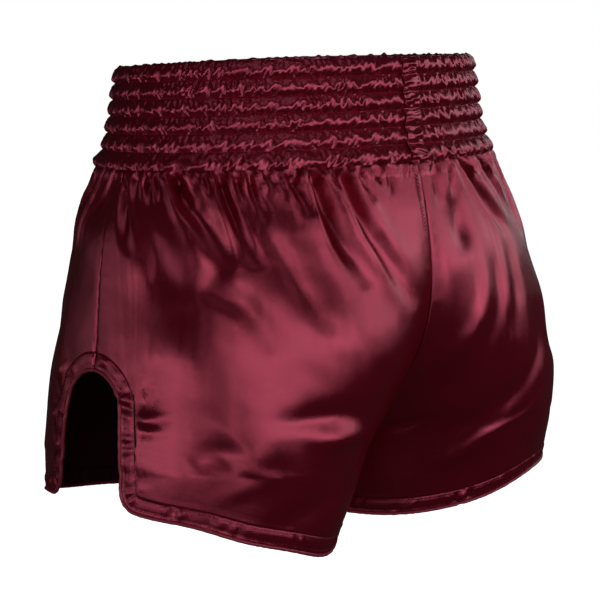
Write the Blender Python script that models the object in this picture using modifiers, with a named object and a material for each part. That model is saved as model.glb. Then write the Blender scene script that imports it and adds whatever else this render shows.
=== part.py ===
"""Satin boxing shorts, size M to L, in the shape they take when worn.

Frame: metres, +Z up. The origin is the centre of the waist opening, level with the waistband's top edge.
The front faces -Y and the wearer's left is +X.

The cloth follows one surface. On a level z, each half of the body is an arc of an ellipse that runs from the
side (tau = 0) to the seam on the middle plane or, below the crotch, to the inseam (tau = 1).
"""

import math

import bmesh
import bpy
from mathutils import Vector

# Levels
BAND_HEIGHT = 0.072
BAND_BOTTOM_Z = -BAND_HEIGHT
VENT_TOP_Z = -0.204
CROTCH_Z = -0.271
VENT_CORNER_Z = -0.283  # where each vent's straight side ends
INSEAM_HEM_Z = -0.334

# The surface, as (z, size) stations from the waist down
HALF_WIDTH = (
    (0, 0.1515), (-0.072, 0.169), (-0.115, 0.188), (-0.185, 0.1975), (-0.245, 0.205), (-0.34, 0.209)
)
BACK_DEPTH = (
    (0, 0.1115), (-0.072, 0.117), (-0.115, 0.1255), (-0.185, 0.1365), (-0.245, 0.1335), (-0.34, 0.106)
)
FRONT_DEPTH = (
    (0, 0.1115), (-0.072, 0.117), (-0.115, 0.118), (-0.185, 0.124), (-0.245, 0.1255), (-0.34, 0.118)
)
LEG_FORMING = 1.4  # how late the body parts into two legs: 1 is evenly from the waist down
INNER_LEG_SPREAD = 0.008  # half the gap between the legs at the hem

# Side vents and hems
VENT_RADIUS = 0.026
BACK_VENT_LEAN = math.radians(2)
FRONT_VENT_LEAN = math.radians(11)
CORNER_RADIUS = 0.015
BACK_HEM_DIP = 0.08  # how far the back hem dips below the inseam, as a share of its drop from the vent
HEM_BAND_WIDTH = 0.011
PIPING_DIAMETER = 0.0024

# Thicknesses and gaps
CLOTH = 0.0010
TAPE = 0.0008
TAPE_DEPTH = 0.0018  # from the cloth's outer face to a tape's
SEAM_ALLOWANCE = 0.005  # on each side of a seam
GAP = 0.0004
SEAM_GAP = 0.0003  # from a seam's line to each panel's edge

# Waistband
ELASTIC_ROWS = 6
ROW_PITCH = BAND_HEIGHT / ELASTIC_ROWS
ELASTIC_HEIGHT = 0.0100
ELASTIC = 0.0010
CASING = 0.0008
CASING_DEPTH = 0.0036  # from the outer face to the inner one
JOIN_STRIP_WIDTH = 0.016
LABEL_WIDTH = 0.030
LABEL_HEIGHT = 0.038

# Finishes, as (linear colour, roughness)
SATIN = ((0.100, 0.006, 0.014), 0.35)
PIPING_SATIN = ((0.170, 0.016, 0.030), 0.40)
TAPE_CLOTH = ((0.050, 0.003, 0.007), 0.70)
ELASTIC_KNIT = ((0.600, 0.580, 0.550), 0.80)
LABEL_CLOTH = ((0.550, 0.540, 0.520), 0.70)

# Mesh steps
ARCH_STEPS = 7
VENT_SIDE_STEPS = 3
CORNER_STEPS = 4
HEM_STEPS = 13
PANEL_COLUMNS = ARCH_STEPS + VENT_SIDE_STEPS + CORNER_STEPS + HEM_STEPS
PANEL_ROWS = 9
CROTCH_ROWS = 3
HALF_RING_STEPS = 20
FOLD_STEPS = 4
GIRTH_STEPS = 24


def through(stations, z):
    """A smooth curve through (z, value) stations that run downwards."""
    if z >= stations[0][0]:
        return stations[0][1]
    last = len(stations) - 2
    i = 0
    while i < last and z < stations[i + 1][0]:
        i += 1

    def slope(j):
        a = stations[max(j - 1, 0)]
        b = stations[min(j + 1, last + 1)]
        return (b[1] - a[1]) / (b[0] - a[0])

    (z0, v0), (z1, v1) = stations[i], stations[i + 1]
    span = z1 - z0
    t = (z - z0) / span
    ease = t * t * (3 - 2 * t)
    bend = slope(i) * t * (1 - t) ** 2 - slope(i + 1) * t * t * (1 - t)
    return v0 + (v1 - v0) * ease + bend * span


def section(z, back):
    """(centre x, half width, depth, end angle) of the ellipse that the left half follows at this level."""
    half_width = through(HALF_WIDTH, z)
    depth = through(BACK_DEPTH if back else FRONT_DEPTH, z)
    down = (BAND_BOTTOM_Z - z) / (BAND_BOTTOM_Z - CROTCH_Z)
    share = min(max(down, 0.0), 1.0) ** LEG_FORMING
    below = min(max((CROTCH_Z - z) / (CROTCH_Z - INSEAM_HEM_Z), 0.0), 1.0)
    inner = SEAM_GAP + INNER_LEG_SPREAD * below
    radius = (half_width - inner) / (1 + share)
    return inner + share * radius, radius, depth, math.acos(-share)


def surface(tau, z, back):
    """The point of the left half at tau, from 0 at the side to 1 at the middle or inseam."""
    centre, radius, depth, end = section(z, back)
    angle = tau * end
    y = depth * math.sin(angle)
    return Vector((centre + radius * math.cos(angle), y if back else -y, z))


def outward(tau, z, back):
    """The unit normal of the surface there."""
    step = 1e-3
    centre, radius, depth, end = section(z, back)
    angle = tau * end
    along = Vector((-radius * math.sin(angle), depth * math.cos(angle) * (1 if back else -1), 0))
    down = surface(tau, z - step, back) - surface(tau, z + step, back)
    normal = along.cross(down)
    if back:
        normal.negate()
    flat = Vector((math.cos(angle) / radius, math.sin(angle) / depth * (1 if back else -1), 0))
    if normal.dot(flat) < 0:
        normal.negate()
    return normal.normalized()


def girth(z, back):
    """How far it is along the cloth from the side to the middle seam or inseam."""
    points = [surface(i / GIRTH_STEPS, z, back) for i in range(GIRTH_STEPS + 1)]
    return sum((b - a).length for a, b in zip(points, points[1:]))


def hem_drop(t, back):
    """(share of the drop, its rate) along the hem, from the vent's corner at 0 to the inseam at 1."""
    if back:
        early = 1 + BACK_HEM_DIP
        return early * t * (2 - t) - BACK_HEM_DIP * t, early * (2 - 2 * t) - BACK_HEM_DIP
    return t * t * (3 - 2 * t), 6 * t * (1 - t)


def finished_edge(back):
    """The finished edge, as (point, normal into the panel) pairs of (distance from the side line, z).

    It runs over the vent's arch, down its side, round the corner and along the hem.
    """
    arch_z = VENT_TOP_Z - VENT_RADIUS
    arch_end = math.pi / 2 - (BACK_VENT_LEAN if back else FRONT_VENT_LEAN)
    edge = []
    for i in range(ARCH_STEPS + 1):
        a = arch_end * i / ARCH_STEPS
        point = (VENT_RADIUS * math.sin(a), arch_z + VENT_RADIUS * math.cos(a))
        edge.append((point, (math.sin(a), math.cos(a))))
    (g, z), side_normal = edge[-1]
    fall = z - VENT_CORNER_Z
    for i in range(1, VENT_SIDE_STEPS):
        t = i / VENT_SIDE_STEPS
        edge.append(((g + fall * t / math.tan(arch_end), z - fall * t), side_normal))
    g += fall / math.tan(arch_end)
    centre = (g + CORNER_RADIUS * side_normal[0], VENT_CORNER_Z + CORNER_RADIUS * side_normal[1])
    reach = girth(INSEAM_HEM_Z, back) - centre[0]
    hem_end = math.atan(hem_drop(0.0, back)[1] * (centre[1] - CORNER_RADIUS - INSEAM_HEM_Z) / reach)
    for i in range(CORNER_STEPS + 1):
        a = arch_end + (hem_end - arch_end) * i / CORNER_STEPS
        point = (centre[0] - CORNER_RADIUS * math.sin(a), centre[1] - CORNER_RADIUS * math.cos(a))
        edge.append((point, (math.sin(a), math.cos(a))))
    (g, z), _ = edge[-1]
    reach = girth(INSEAM_HEM_Z, back) - g
    for i in range(1, HEM_STEPS + 1):
        t = i / HEM_STEPS
        down, rate = hem_drop(t, back)
        a = math.atan(rate * (z - INSEAM_HEM_Z) / reach)
        point = (g + reach * t, z + (INSEAM_HEM_Z - z) * down)
        edge.append((point, (math.sin(a), math.cos(a))))
    return edge


def inset(edge, distance):
    """The edge's points moved into the panel by that distance, along the cloth."""
    return [(g + ng * distance, z + nz * distance) for (g, z), (ng, nz) in edge]


def on_cloth(path, back):
    """(tau, z) of the path's points. The ends lie on the side line and the inseam, less the seam gap."""
    made = []
    for i, (g, z) in enumerate(path):
        reach = girth(z, back)
        margin = SEAM_GAP / reach
        tau = 1.0 if i == len(path) - 1 else g / reach
        made.append((min(max(tau, margin), 1 - margin), z))
    return made


def material(name, finish):
    """A material of its own for the object of that name. A finish is (linear colour, roughness)."""
    colour, roughness = finish
    made = bpy.data.materials.new(name)
    made.use_nodes = True
    shader = made.node_tree.nodes["Principled BSDF"]
    shader.inputs["Base Color"].default_value = (*colour, 1.0)
    shader.inputs["Roughness"].default_value = roughness
    shader.inputs["Metallic"].default_value = 0.0
    return made


def empty(name, collection, location):
    made = bpy.data.objects.new(name, None)
    made.empty_display_size = 0.05
    made.location = location
    collection.objects.link(made)
    return made


def placed(made, finish, half):
    """Links the object to its half of the shorts and gives it its material."""
    made.data.materials.append(material(made.name, finish))
    SHORTS.objects.link(made)
    made.parent = half
    made.matrix_parent_inverse = half.matrix_world.inverted()
    return made


def sheet(name, rows, thickness, finish, half, closed=False):
    """A cloth sheet through rows of points on its outer face, thickened inwards. Faces turn outwards."""
    mesh = bmesh.new()
    grid = [[mesh.verts.new(p) for p in row] for row in rows]
    for upper, lower in zip(grid, grid[1:]):
        count = len(upper)
        for i in range(count if closed else count - 1):
            j = (i + 1) % count
            mesh.faces.new((upper[i], lower[i], lower[j], upper[j]))
    made = bpy.data.meshes.new(name)
    mesh.to_mesh(made)
    mesh.free()
    made.shade_smooth()
    made.set_sharp_from_angle(angle=math.radians(50))
    placed_object = placed(bpy.data.objects.new(name, made), finish, half)
    solid = placed_object.modifiers.new("thickness", "SOLIDIFY")
    solid.thickness = thickness
    solid.offset = -1
    solid.use_even_offset = True
    return placed_object


def turned(rows, side, back):
    """Rows ordered so that sheet() turns them outwards. Side 1 is the left, -1 mirrors them to the right."""
    mirrored = [[Vector((side * p.x, p.y, p.z)) for p in row] for row in rows]
    if (side > 0) == back:
        return mirrored
    return [row[::-1] for row in mirrored]


def side_name(side):
    return "left" if side > 0 else "right"


def side_levels(low):
    """The levels of the panels' rows at the side seam."""
    top = BAND_BOTTOM_Z - GAP
    rows = PANEL_ROWS + CROTCH_ROWS
    return [top + (low - top) * i / rows for i in range(rows + 1)]


def middle_levels(low):
    """The levels of the panels' rows at the middle seam, closer near the crotch, and at the inseam."""
    top = BAND_BOTTOM_Z - GAP
    drops = [1 - (1 - i / PANEL_ROWS) ** LEG_FORMING for i in range(PANEL_ROWS + 1)]
    upper = [top + (CROTCH_Z - top) * drop for drop in drops]
    return upper + [CROTCH_Z + (low - CROTCH_Z) * i / CROTCH_ROWS for i in range(1, CROTCH_ROWS + 1)]


def panel(side, back, finish, half):
    """A leg panel, from the waistband to the hem band, between the side and the middle seam or inseam."""
    face = "back" if back else "front"
    bottom = on_cloth(inset(finished_edge(back), HEM_BAND_WIDTH + GAP), back)
    side_low, middle_low = bottom[0][1], bottom[-1][1]
    rows = []
    for i, (side_z, middle_z) in enumerate(zip(side_levels(side_low), middle_levels(middle_low))):
        v = i / (PANEL_ROWS + CROTCH_ROWS)
        row = []
        for j, (tau_low, z_low) in enumerate(bottom):
            c = j / PANEL_COLUMNS
            z = (1 - c) * side_z + c * middle_z + v * (z_low - (1 - c) * side_low - c * middle_low)
            tau = c + v * (tau_low - c)
            margin = SEAM_GAP / girth(z, back)
            row.append(surface(min(max(tau, margin), 1 - margin), z, back))
        rows.append(row)
    return sheet(f"{side_name(side)}_{face}_panel", turned(rows, side, back), CLOTH, finish, half)


def hem_band(side, back, finish, half):
    """The stitched band between the panel and the piping, along the vent and the hem."""
    face = "back" if back else "front"
    edge = finished_edge(back)
    rows = []
    for depth in (HEM_BAND_WIDTH, 0.0):
        rows.append([surface(tau, z, back) for tau, z in on_cloth(inset(edge, depth), back)])
    return sheet(f"{side_name(side)}_{face}_hem_band", turned(rows, side, back), CLOTH, finish, half)


def piping(side, back, finish, half):
    """The cord-like binding outside the hem band."""
    face = "back" if back else "front"
    path = on_cloth(inset(finished_edge(back), -(PIPING_DIAMETER / 2 + GAP)), back)
    clear = PIPING_DIAMETER / 2 / girth(INSEAM_HEM_Z, back)
    points = []
    for i, (tau, z) in enumerate(path):
        if i in (0, len(path) - 1):
            tau = min(max(tau, clear / 8), 1 - clear / 8)
        centre = surface(tau, z, back) - outward(tau, z, back) * CLOTH / 2
        points.append((side * centre.x, centre.y, centre.z))
    curve = bpy.data.curves.new(f"{side_name(side)}_{face}_piping", "CURVE")
    curve.dimensions = "3D"
    curve.bevel_depth = PIPING_DIAMETER / 2
    curve.bevel_resolution = 2
    curve.use_fill_caps = True
    spline = curve.splines.new("POLY")
    spline.points.add(len(points) - 1)
    for target, point in zip(spline.points, points):
        target.co = (*point, 1.0)
    return placed(bpy.data.objects.new(curve.name, curve), finish, half)


def side_tape(side, finish, half):
    """The seam allowance inside the side seam, from the waistband to the vent."""
    rows = []
    for z in side_levels(VENT_TOP_Z + HEM_BAND_WIDTH)[1:-1]:
        row = []
        for g in (-SEAM_ALLOWANCE, 0.0, SEAM_ALLOWANCE):
            back = g >= 0
            tau = abs(g) / girth(z, back)
            row.append(surface(tau, z, back) - outward(tau, z, back) * TAPE_DEPTH)
        rows.append(row)
    return sheet(f"{side_name(side)}_side_seam_tape", turned(rows, side, True), TAPE, finish, half)


def inseam_tape(side, finish, half):
    """The seam allowance inside the inseam, from the crotch to the hem band."""
    top, bottom = CROTCH_Z - 0.008, INSEAM_HEM_Z + HEM_BAND_WIDTH + 0.003
    rows = []
    for i in range(4):
        z = top + (bottom - top) * i / 3
        row = []
        for g in (SEAM_ALLOWANCE, 0.0, -SEAM_ALLOWANCE):
            back = g >= 0
            tau = 1 - abs(g) / girth(z, back)
            row.append(surface(tau, z, back) - outward(tau, z, back) * TAPE_DEPTH)
        rows.append(row)
    return sheet(f"{side_name(side)}_inseam_tape", turned(rows, side, True), TAPE, finish, half)


def middle_tape(name, back, finish, half):
    """The seam allowance inside the centre back or centre front seam, down to just above the crotch."""
    out = 1 if back else -1
    seam = [surface(1.0, z, back) for z in middle_levels(CROTCH_Z)[:PANEL_ROWS]]
    rows = []
    for i in range(1, len(seam) - 1):
        along = seam[i + 1] - seam[i - 1]
        inside = Vector((0, out * along.z, -out * along.y)).normalized()
        centre = seam[i] + inside * TAPE_DEPTH
        rows.append([Vector((x, centre.y, centre.z)) for x in (SEAM_ALLOWANCE, 0.0, -SEAM_ALLOWANCE)])
    return sheet(name, turned(rows, 1, back), TAPE, finish, half)


def ring_point(angle, z, inwards):
    """A point of the waistband's ring, that far inside its outer face. Angle 0 is the left side."""
    x = (through(HALF_WIDTH, z) - inwards) * math.cos(angle)
    y = (through(BACK_DEPTH, z) - inwards) * math.sin(angle)
    return Vector((x, y, z))


def casing(back, finish, half):
    """Half of the waistband's casing: a strip folded over at the top, with room for the elastics."""
    fold = CASING_DEPTH / 2
    inner_face = CASING_DEPTH
    profile = [(inner_face, BAND_BOTTOM_Z), (inner_face, BAND_BOTTOM_Z / 2), (inner_face, -fold)]
    for i in range(1, FOLD_STEPS):
        a = math.pi * i / FOLD_STEPS
        profile.append((fold + fold * math.cos(a), -fold + fold * math.sin(a)))
    profile += [(0.0, -fold), (0.0, BAND_BOTTOM_Z / 2), (0.0, BAND_BOTTOM_Z)]
    start = SEAM_GAP / through(BACK_DEPTH, BAND_BOTTOM_Z)
    rows = []
    for inwards, z in profile:
        row = []
        for i in range(HALF_RING_STEPS + 1):
            angle = start + (math.pi - 2 * start) * i / HALF_RING_STEPS
            row.append(ring_point(angle if back else -angle, z, inwards))
        rows.append(row if back else row[::-1])
    return sheet(f"{'back' if back else 'front'}_waistband_casing", rows, CASING, finish, half)


def elastic(row, finish, half):
    """One of the closed elastics that run in the casing's channels."""
    middle = -(row + 0.5) * ROW_PITCH
    inwards = CASING + GAP
    rows = []
    for z in (middle + ELASTIC_HEIGHT / 2, middle - ELASTIC_HEIGHT / 2):
        z = min(z, -CASING_DEPTH / 2)
        steps = 2 * HALF_RING_STEPS
        rows.append([ring_point(math.tau * i / steps, z, inwards) for i in range(steps)])
    return sheet(f"waist_elastic_{row + 1}", rows, ELASTIC, finish, half, closed=True)


def join_strip(finish, half):
    """The strip that covers the casing's join at the centre back."""
    reach = JOIN_STRIP_WIDTH / 2
    top, bottom = -0.002, BAND_BOTTOM_Z
    rows = []
    for i in range(4):
        z = top + (bottom - top) * i / 3
        angles = [math.pi / 2 + g / through(HALF_WIDTH, z) for g in (-reach, 0.0, reach)]
        rows.append([ring_point(a, z, -(TAPE + GAP)) for a in angles])
    return sheet("back_join_strip", rows, TAPE, finish, half)


def care_label(finish, half):
    """A blank woven label that hangs inside the centre back, below the casing."""
    top = BAND_BOTTOM_Z - 0.001
    y = through(BACK_DEPTH, top) - 0.0075
    reach = LABEL_WIDTH / 2
    rows = [[Vector((x, y, z)) for x in (reach, -reach)] for z in (top, top - LABEL_HEIGHT)]
    return sheet("care_label", rows, TAPE, finish, half)


for old in list(bpy.data.objects):
    bpy.data.objects.remove(old)

SHORTS = bpy.data.collections.new("boxing_shorts")
bpy.context.scene.collection.children.link(SHORTS)

back_half = empty("back_half", SHORTS, (0.0, 0.0, 0.0))
front_half = empty("front_half", SHORTS, (0.0, 0.0, 0.0))

for is_back, body in ((True, back_half), (False, front_half)):
    casing(is_back, SATIN, body)
    for leg in (1, -1):
        panel(leg, is_back, SATIN, body)
        hem_band(leg, is_back, SATIN, body)
        piping(leg, is_back, PIPING_SATIN, body)
for index in range(ELASTIC_ROWS):
    elastic(index, ELASTIC_KNIT, back_half)
join_strip(SATIN, back_half)
care_label(LABEL_CLOTH, back_half)
middle_tape("centre_back_seam_tape", True, TAPE_CLOTH, back_half)
middle_tape("centre_front_seam_tape", False, TAPE_CLOTH, front_half)
for leg in (1, -1):
    side_tape(leg, TAPE_CLOTH, back_half)
    inseam_tape(leg, TAPE_CLOTH, back_half)
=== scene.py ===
"""The looks of the satin boxing shorts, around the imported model.

The cloth follows the same surface as the CAD. On a level z, each quarter of it is an arc of an ellipse
that runs from the side (tau = 0) to the seam on the middle plane or, below the crotch, to the inseam
(tau = 1). Each quarter is a grid of points on it, and its folds, puckers and seams are heights over it.
"""

import math

import bmesh
import bpy
import numpy as np
from mathutils import Matrix, Vector


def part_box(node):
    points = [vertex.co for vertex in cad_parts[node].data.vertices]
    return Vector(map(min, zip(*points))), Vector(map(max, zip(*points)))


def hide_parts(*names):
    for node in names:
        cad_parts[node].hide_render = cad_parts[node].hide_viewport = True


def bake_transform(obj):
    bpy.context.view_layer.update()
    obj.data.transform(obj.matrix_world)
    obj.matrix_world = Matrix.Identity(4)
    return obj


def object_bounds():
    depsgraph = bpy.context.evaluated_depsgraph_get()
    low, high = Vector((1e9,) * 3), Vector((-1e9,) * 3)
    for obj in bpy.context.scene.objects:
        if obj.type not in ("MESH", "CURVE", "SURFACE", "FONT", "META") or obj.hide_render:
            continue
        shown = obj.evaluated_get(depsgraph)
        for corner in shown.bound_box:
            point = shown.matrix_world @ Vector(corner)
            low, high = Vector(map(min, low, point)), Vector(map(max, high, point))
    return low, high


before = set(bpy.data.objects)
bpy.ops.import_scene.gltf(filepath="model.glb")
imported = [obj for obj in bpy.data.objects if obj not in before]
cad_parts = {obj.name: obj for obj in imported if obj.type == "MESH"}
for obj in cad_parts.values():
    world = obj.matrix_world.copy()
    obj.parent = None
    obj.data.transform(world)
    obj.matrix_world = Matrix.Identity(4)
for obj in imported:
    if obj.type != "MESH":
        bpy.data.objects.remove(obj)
CAD_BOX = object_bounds()

# ---------------------------------------------------------------- the surface, as in the CAD

BAND_HEIGHT = 0.072
BAND_BOTTOM = -BAND_HEIGHT
VENT_TOP = -0.204
CROTCH = -0.271
VENT_CORNER = -0.283
INSEAM_HEM = -0.334

# Stations of (z, size), which a smooth curve runs through
HALF_WIDTH = (
    (0, 0.1515), (-0.072, 0.169), (-0.115, 0.188), (-0.185, 0.1975), (-0.245, 0.205), (-0.34, 0.209)
)
BACK_DEPTH = (
    (0, 0.1115), (-0.072, 0.117), (-0.115, 0.1255), (-0.185, 0.1365), (-0.245, 0.1335), (-0.34, 0.106)
)
FRONT_DEPTH = (
    (0, 0.1115), (-0.072, 0.117), (-0.115, 0.118), (-0.185, 0.124), (-0.245, 0.1255), (-0.34, 0.118)
)

LEG_FORMING = 1.4
INNER_LEG_SPREAD = 0.008
VENT_RADIUS = 0.026
BACK_VENT_LEAN = math.radians(2)
FRONT_VENT_LEAN = math.radians(11)
CORNER_RADIUS = 0.015
BACK_HEM_DIP = 0.08
HEM_BAND = 0.011

# The coarse grid of one quarter of the cloth
COLUMNS = 60
ROWS = 48
HEM_ROWS = 3
CROTCH_ROW = 36

# Points along the finished edge: over the vent, round its corner and along the hem
ARCH_POINTS = 40
CORNER_POINTS = 24
HEM_POINTS = 80
GIRTH_POINTS = 49


def through(stations, z):
    """A smooth curve through (z, value) stations that run downwards, at an array of levels."""
    levels = np.array([s[0] for s in stations], float)
    values = np.array([s[1] for s in stations], float)
    last = len(stations) - 1
    z = np.minimum(np.asarray(z, float), 0.0)
    i = np.clip(np.searchsorted(-levels, -z, side="right") - 1, 0, last - 1)
    low = np.maximum(np.arange(last + 1) - 1, 0)
    high = np.minimum(np.arange(last + 1) + 1, last)
    slopes = (values[high] - values[low]) / (levels[high] - levels[low])
    span = levels[i + 1] - levels[i]
    t = (z - levels[i]) / span
    ease = t * t * (3 - 2 * t)
    bend = slopes[i] * t * (1 - t) ** 2 - slopes[i + 1] * t * t * (1 - t)
    return values[i] + (values[i + 1] - values[i]) * ease + bend * span


def section(z, back):
    """(centre x, half width, depth, end angle) of the ellipses that the left half follows at these levels."""
    share = np.clip((BAND_BOTTOM - z) / (BAND_BOTTOM - CROTCH), 0, 1) ** LEG_FORMING
    inner = INNER_LEG_SPREAD * np.clip((CROTCH - z) / (CROTCH - INSEAM_HEM), 0, 1)
    radius = (through(HALF_WIDTH, z) - inner) / (1 + share)
    depth = through(BACK_DEPTH if back else FRONT_DEPTH, z)
    return inner + share * radius, radius, depth, np.arccos(-share)


def surface(tau, z, side, back):
    """Points of the cloth's outer face. Side is 1 on the left and -1 on the right."""
    centre, radius, depth, end = section(z, back)
    angle = tau * end
    x = side * (centre + radius * np.cos(angle))
    y = (1 if back else -1) * depth * np.sin(angle)
    return np.stack([x, y, z + 0 * x], axis=-1)


def girth(z, back):
    """How far it is along the cloth from the side to the middle seam or inseam, at each level."""
    z = np.atleast_1d(np.asarray(z, float))
    tau = np.linspace(0, 1, GIRTH_POINTS)
    points = surface(tau[:, None], z[None, :], 1, back)
    return np.linalg.norm(np.diff(points, axis=0), axis=-1).sum(axis=0)


def hem_drop(t, back):
    """(share of the hem's fall, its rate) at the share t of the way from the vent's corner to the inseam."""
    if back:
        early = 1 + BACK_HEM_DIP
        return early * t * (2 - t) - BACK_HEM_DIP * t, early * (2 - 2 * t) - BACK_HEM_DIP
    return t * t * (3 - 2 * t), 6 * t * (1 - t)


def finished_edge(back, count):
    """(points, normals into the panel) of the edge over the vent, round its corner and along the hem."""
    arch_z = VENT_TOP - VENT_RADIUS
    arch_end = math.pi / 2 - (BACK_VENT_LEAN if back else FRONT_VENT_LEAN)
    a = np.linspace(0, arch_end, ARCH_POINTS)
    points = [np.stack([VENT_RADIUS * np.sin(a), arch_z + VENT_RADIUS * np.cos(a)], axis=1)]
    normals = [np.stack([np.sin(a), np.cos(a)], axis=1)]
    g, z = points[0][-1]
    centre_g = g + (z - VENT_CORNER) / math.tan(arch_end) + CORNER_RADIUS * math.sin(arch_end)
    centre_z = VENT_CORNER + CORNER_RADIUS * math.cos(arch_end)
    reach = girth(INSEAM_HEM, back)[0]
    fall = centre_z - CORNER_RADIUS - INSEAM_HEM
    hem_end = math.atan(hem_drop(0.0, back)[1] * fall / (reach - centre_g))
    a = np.linspace(arch_end, hem_end, CORNER_POINTS)
    corner = [centre_g - CORNER_RADIUS * np.sin(a), centre_z - CORNER_RADIUS * np.cos(a)]
    points.append(np.stack(corner, axis=1))
    normals.append(np.stack([np.sin(a), np.cos(a)], axis=1))
    g, z = points[1][-1]
    t = np.linspace(0, 1, HEM_POINTS)[1:]
    down, rate = hem_drop(t, back)
    a = np.arctan(rate * (z - INSEAM_HEM) / (reach - g))
    points.append(np.stack([g + (reach - g) * t, z + (INSEAM_HEM - z) * down], axis=1))
    normals.append(np.stack([np.sin(a), np.cos(a)], axis=1))
    points, normals = np.concatenate(points), np.concatenate(normals)
    along = np.concatenate([[0], np.cumsum(np.linalg.norm(np.diff(points, axis=0), axis=1))])
    at = np.linspace(0, along[-1], count)
    points = np.stack([np.interp(at, along, points[:, k]) for k in (0, 1)], axis=1)
    normals = np.stack([np.interp(at, along, normals[:, k]) for k in (0, 1)], axis=1)
    return points, normals / np.linalg.norm(normals, axis=1)[:, None]


def panel_grid(side, back):
    """(tau, z) of the quarter's grid: rows from the waistband to the finished edge, columns from the side."""
    points, normals = finished_edge(back, COLUMNS + 1)
    low = points + normals * HEM_BAND
    low_tau = low[:, 0] / girth(low[:, 1], back)
    low_tau[-1] = 1.0
    low_z = low[:, 1]
    c = np.linspace(0, 1, COLUMNS + 1)[None, :]
    v = np.linspace(0, 1, ROWS + 1)[:, None]
    split = CROTCH_ROW / ROWS
    side_z = BAND_BOTTOM + (low_z[0] - BAND_BOTTOM) * v
    above = BAND_BOTTOM + (CROTCH - BAND_BOTTOM) * (1 - (1 - np.minimum(v / split, 1)) ** LEG_FORMING)
    below = (low_z[-1] - CROTCH) * np.maximum(v - split, 0) / (1 - split)
    z = (1 - c) * side_z + c * (above + below) + v * (low_z[None, :] - (1 - c) * low_z[0] - c * low_z[-1])
    tau = c + v * (low_tau[None, :] - c)
    for i in range(1, HEM_ROWS + 1):
        row = points + normals * HEM_BAND * (1 - i / HEM_ROWS)
        row_tau = row[:, 0] / girth(row[:, 1], back)
        row_tau[-1] = 1.0
        tau = np.vstack([tau, row_tau])
        z = np.vstack([z, row[:, 1]])
    return np.clip(tau, 0, 1), z


QUARTERS = [(side, back) for back in (True, False) for side in (1, -1)]


def mesh_object(name, points, faces, material=None):
    """A new object in the scene, shaded smooth."""
    mesh = bpy.data.meshes.new(name)
    mesh.from_pydata([tuple(p) for p in np.asarray(points).reshape(-1, 3)], [], [tuple(f) for f in faces])
    mesh.update()
    made = bpy.data.objects.new(name, mesh)
    bpy.context.scene.collection.objects.link(made)
    mesh.shade_smooth()
    if material:
        mesh.materials.append(material)
    return made


def grid_faces(rows, columns, flip=False):
    """Quads over a grid of rows by columns points, numbered row by row."""
    i, j = np.meshgrid(np.arange(rows - 1), np.arange(columns - 1), indexing="ij")
    a = (i * columns + j).ravel()
    quads = np.stack([a, a + columns, a + columns + 1, a + 1], axis=1)
    return quads[:, ::-1] if flip else quads


# ---------------------------------------------------------------- grids


def hill(x, centre, width):
    """A smooth hill of height 1 over x."""
    return np.exp(-(((x - centre) / width) ** 2))


def refined(grid, factor, axis):
    """The grid of points with factor times as many steps along an axis, on a smooth curve through them."""
    grid = np.moveaxis(grid, axis, 0)
    padded = np.concatenate([2 * grid[:1] - grid[1:2], grid, 2 * grid[-1:] - grid[-2:-1]])
    at = np.linspace(0, len(grid) - 1, (len(grid) - 1) * factor + 1)
    i = np.minimum(at.astype(int), len(grid) - 2)
    t = (at - i).reshape((-1,) + (1,) * (grid.ndim - 1))
    p0, p1, p2, p3 = padded[i], padded[i + 1], padded[i + 2], padded[i + 3]
    curve = 2 * p1 + (p2 - p0) * t
    curve = curve + (2 * p0 - 5 * p1 + 4 * p2 - p3) * t**2 + (3 * p1 - p0 - 3 * p2 + p3) * t**3
    return np.moveaxis(curve / 2, 0, axis)


def grid_normals(grid, sign):
    """Unit normals at a grid's points. Sign is 1 or -1, whichever makes them point out of the shorts."""
    down = np.gradient(grid, axis=0)
    along = np.gradient(grid, axis=1)
    normals = np.cross(down, along) * sign
    return normals / np.maximum(np.linalg.norm(normals, axis=-1, keepdims=True), 1e-12)


def lengths(grid, axis):
    """How far each point is along its row or column, from the first."""
    steps = np.linalg.norm(np.diff(grid, axis=axis), axis=-1)
    total = np.cumsum(steps, axis=axis)
    pad = [(0, 0), (0, 0)]
    pad[axis] = (1, 0)
    return np.pad(total, pad)


def wavelets(s, t, seed, span, count, waves, lean, reach):
    """Uneven ripples over (s, t) in metres: many short trains of waves, each with its own length and lean."""
    rng = np.random.default_rng(seed)
    out = np.zeros(np.broadcast(s, t).shape)
    for _ in range(count):
        wave = rng.uniform(*waves)
        phase = rng.uniform(0, 2 * math.pi)
        tilt = rng.uniform(-lean, lean)
        centre = rng.uniform(-0.01, span + 0.01)
        width = rng.uniform(*reach)
        out += hill(s, centre, width) * np.sin(2 * math.pi * (s + tilt * t) / wave + phase)
    return out


def cloth_object(name, grid, materials, flip, thickness=0.0006, uv=None):
    """A sheet of cloth over a grid of points, with its thickness inside and its weave laid along the grid."""
    rows, columns = grid.shape[:2]
    faces = grid_faces(rows, columns, flip)
    made = mesh_object(name, grid, faces)
    mesh = made.data
    if uv is None:
        uv = np.stack([lengths(grid, 1), -lengths(grid, 0)], axis=-1)
    layer = mesh.uv_layers.new(name="weave")
    layer.data.foreach_set("uv", uv.reshape(-1, 2)[faces.ravel()].astype(np.float32).ravel())
    for material in materials:
        mesh.materials.append(material)
    if thickness:
        solid = made.modifiers.new("thickness", "SOLIDIFY")
        solid.thickness = thickness
        solid.offset = -1
        solid.use_even_offset = False
        if len(materials) > 1:
            solid.material_offset = 1
    return made


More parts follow.
